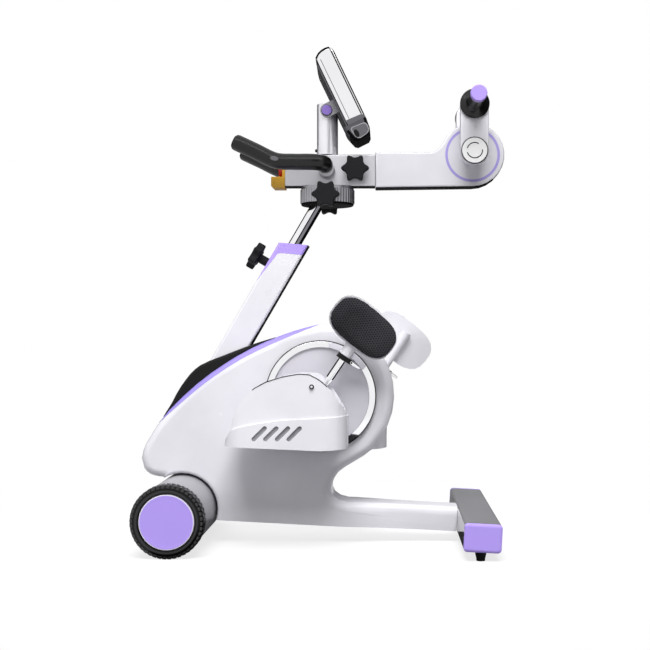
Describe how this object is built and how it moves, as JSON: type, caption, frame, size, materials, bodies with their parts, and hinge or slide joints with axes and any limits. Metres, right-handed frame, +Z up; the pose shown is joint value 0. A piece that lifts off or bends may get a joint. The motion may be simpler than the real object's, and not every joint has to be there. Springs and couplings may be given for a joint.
{
  "type": "arm and leg pedal exerciser",
  "caption": "Pedal exerciser for arms and legs: wheeled base with a motor-driven foot crank, height-adjustable mast, swivelling head with handlebars, console and hand crank.",
  "frame": {"origin": "on the floor under the middle of the machine's bounding box", "axes": "+Z up, +X from the machine towards the seated user, +Y towards the user's right side"},
  "size_m": [0.833, 0.534, 1.1332],
  "materials": {
    "white_shell": "satin moulded",
    "gloss_white": "gloss moulded",
    "white_paint": "powder coat",
    "lavender": "satin moulded",
    "black_plastic": "fine grain",
    "black_rubber": "matt",
    "grey_paint": "powder coat",
    "frame_steel": "grey primer",
    "bearing_steel": "ground",
    "motor_black": "satin",
    "chrome": "polished",
    "silver_metal": "satin silver",
    "disc_grey": "metallic grey with a bright rim",
    "pad_fabric": "woven cover",
    "signal_red": "gloss",
    "cap_yellow": "satin",
    "console_grey": "fine grain",
    "console_frame": "bright frame round the screen"
  },
  "bodies": {
    "base": {"housing_left": "white_shell", "housing_right": "white_shell", "trim_stripe_left": "lavender", "trim_stripe_right": "lavender", "spine_cover": "black_plastic", "base_frame": "frame_steel", "crank_bearing_left": "bearing_steel", "crank_bearing_right": "bearing_steel", "crossbar": "grey_paint", "crossbar_cap_left": "lavender", "crossbar_cap_right": "lavender", "foot_left": "black_rubber", "foot_right": "black_rubber", "front_drum": "white_shell", "column": "white_paint", "column_collar": "lavender", "disc_cover_left": "disc_grey", "disc_cover_right": "disc_grey", "leg_motor": "motor_black", "drive_belt": "black_rubber"},
    "wheel_left": {"tyre_left": "black_rubber", "wheel_hub_left": "lavender"},
    "wheel_right": {"tyre_right": "black_rubber", "wheel_hub_right": "lavender"},
    "leg_crank": {"crank_shaft": "frame_steel", "leg_crank_left": "frame_steel", "leg_crank_right": "frame_steel"},
    "motor_rotor": {"motor_pulley": "frame_steel"},
    "pedal_left": {"foot_shell_left": "gloss_white"},
    "pedal_right": {"foot_shell_right": "gloss_white"},
    "calf_arm_left": {"calf_rod_left": "chrome"},
    "calf_arm_right": {"calf_rod_right": "chrome"},
    "calf_support_left": {"calf_shell_left": "gloss_white", "calf_pad_left": "pad_fabric"},
    "calf_support_right": {"calf_shell_right": "gloss_white", "calf_pad_right": "pad_fabric"},
    "calf_clamp_left": {"clamp_lever_left": "chrome"},
    "calf_clamp_right": {"clamp_lever_right": "chrome"},
    "mast": {"mast_post": "chrome"},
    "mast_knob": {"column_knob": "black_plastic"},
    "head": {"turntable": "silver_metal", "head_tube": "silver_metal", "tube_end_cap": "cap_yellow", "handlebar_left": "black_rubber", "handlebar_right": "black_rubber", "console_post": "silver_metal"},
    "swivel_knob_left": {"turntable_knob_left": "black_plastic"},
    "swivel_knob_right": {"turntable_knob_right": "black_plastic"},
    "reach_knob": {"tube_knob": "black_plastic"},
    "stop": {"stop_button": "signal_red"},
    "console": {"console_case": "console_grey", "console_bezel": "console_frame"},
    "arm_unit": {"arm_housing_left": "white_shell", "arm_housing_right": "white_shell", "arm_slide": "frame_steel", "arm_gearmotor": "motor_black"},
    "arm_crank": {"arm_crank_left": "white_paint", "arm_crank_right": "white_paint"},
    "hand_grip_left": {"arm_grip_left": "black_rubber"},
    "hand_grip_right": {"arm_grip_right": "black_rubber"}
  },
  "joints": [
    {"name": "wheel_left_spin", "type": "hinge", "parent": "base", "child": "wheel_left", "pos_m": [-0.322, -0.221, 0.079], "axis": [0, 1, 0], "continuous": true},
    {"name": "wheel_right_spin", "type": "hinge", "parent": "base", "child": "wheel_right", "pos_m": [-0.322, 0.221, 0.079], "axis": [0, 1, 0], "continuous": true},
    {"name": "leg_crank_spin", "type": "hinge", "parent": "base", "child": "leg_crank", "pos_m": [-0.005, 0, 0.337], "axis": [0, 1, 0], "continuous": true},
    {"name": "motor_spin", "type": "hinge", "parent": "base", "child": "motor_rotor", "pos_m": [-0.152, 0, 0.232], "axis": [0, 1, 0], "continuous": true},
    {"name": "pedal_left_spin", "type": "hinge", "parent": "leg_crank", "child": "pedal_left", "pos_m": [-0.04745, -0.1, 0.35195], "axis": [0, 1, 0], "continuous": true},
    {"name": "pedal_right_spin", "type": "hinge", "parent": "leg_crank", "child": "pedal_right", "pos_m": [0.03744, 0.1, 0.32205], "axis": [0, 1, 0], "continuous": true},
    {"name": "calf_left_lean", "type": "hinge", "parent": "pedal_left", "child": "calf_arm_left", "pos_m": [-0.01595, -0.111, 0.36495], "axis": [0, 1, 0], "range_deg": [-18, 22]},
    {"name": "calf_right_lean", "type": "hinge", "parent": "pedal_right", "child": "calf_arm_right", "pos_m": [0.06895, 0.111, 0.33505], "axis": [0, 1, 0], "range_deg": [-18, 22]},
    {"name": "calf_left_height", "type": "slide", "parent": "calf_arm_left", "child": "calf_support_left", "axis": [0.5592, 0, 0.829], "range_m": [0, 0.05]},
    {"name": "calf_right_height", "type": "slide", "parent": "calf_arm_right", "child": "calf_support_right", "axis": [0.5592, 0, 0.829], "range_m": [0, 0.05]},
    {"name": "calf_left_clamp", "type": "hinge", "parent": "calf_support_left", "child": "calf_clamp_left", "pos_m": [0.06638, -0.111, 0.41315], "axis": [0, 1, 0], "range_deg": [0, 90]},
    {"name": "calf_right_clamp", "type": "hinge", "parent": "calf_support_right", "child": "calf_clamp_right", "pos_m": [0.15127, 0.111, 0.38326], "axis": [0, 1, 0], "range_deg": [0, 90]},
    {"name": "mast_height", "type": "slide", "parent": "base", "child": "mast", "axis": [0.503, 0, 0.8643], "range_m": [-0.07, 0.1]},
    {"name": "mast_knob_turn", "type": "hinge", "parent": "base", "child": "mast_knob", "pos_m": [-0.104, 0, 0.62657], "axis": [-0.8643, 0, 0.503], "range_deg": [0, 360]},
    {"name": "head_swivel", "type": "hinge", "parent": "mast", "child": "head", "pos_m": [0.007, 0, 0.78], "axis": [0, 0, 1], "range_deg": [0, 180]},
    {"name": "swivel_knob_left_turn", "type": "hinge", "parent": "head", "child": "swivel_knob_left", "pos_m": [0.007, -0.08, 0.793], "axis": [0, -1, 0], "range_deg": [0, 360]},
    {"name": "swivel_knob_right_turn", "type": "hinge", "parent": "head", "child": "swivel_knob_right", "pos_m": [0.007, 0.08, 0.793], "axis": [0, 1, 0], "range_deg": [0, 360]},
    {"name": "reach_knob_turn", "type": "hinge", "parent": "head", "child": "reach_knob", "pos_m": [0.0725, -0.04, 0.857], "axis": [0, -1, 0], "range_deg": [0, 360]},
    {"name": "stop_press", "type": "slide", "parent": "head", "child": "stop", "axis": [1, 0, 0], "range_m": [0, 0.0035], "stiffness_N_per_m": 400, "springref_m": -0.003},
    {"name": "console_tilt", "type": "hinge", "parent": "head", "child": "console", "pos_m": [0.007, 0, 0.9927], "axis": [0, 1, 0], "range_deg": [-34, 2]},
    {"name": "arm_reach", "type": "slide", "parent": "head", "child": "arm_unit", "axis": [1, 0, 0], "range_m": [0, 0.08]},
    {"name": "arm_crank_spin", "type": "hinge", "parent": "arm_unit", "child": "arm_crank", "pos_m": [0.343, 0, 0.891], "axis": [0, 1, 0], "continuous": true},
    {"name": "hand_grip_left_spin", "type": "hinge", "parent": "arm_crank", "child": "hand_grip_left", "pos_m": [0.343, -0.15, 0.996], "axis": [0, 1, 0], "continuous": true},
    {"name": "hand_grip_right_spin", "type": "hinge", "parent": "arm_crank", "child": "hand_grip_right", "pos_m": [0.343, 0.15, 0.996], "axis": [0, 1, 0], "continuous": true}
  ],
  "couplings": [
    {"joint": "motor_spin", "follows": "leg_crank_spin", "ratio": 5}
  ]
}
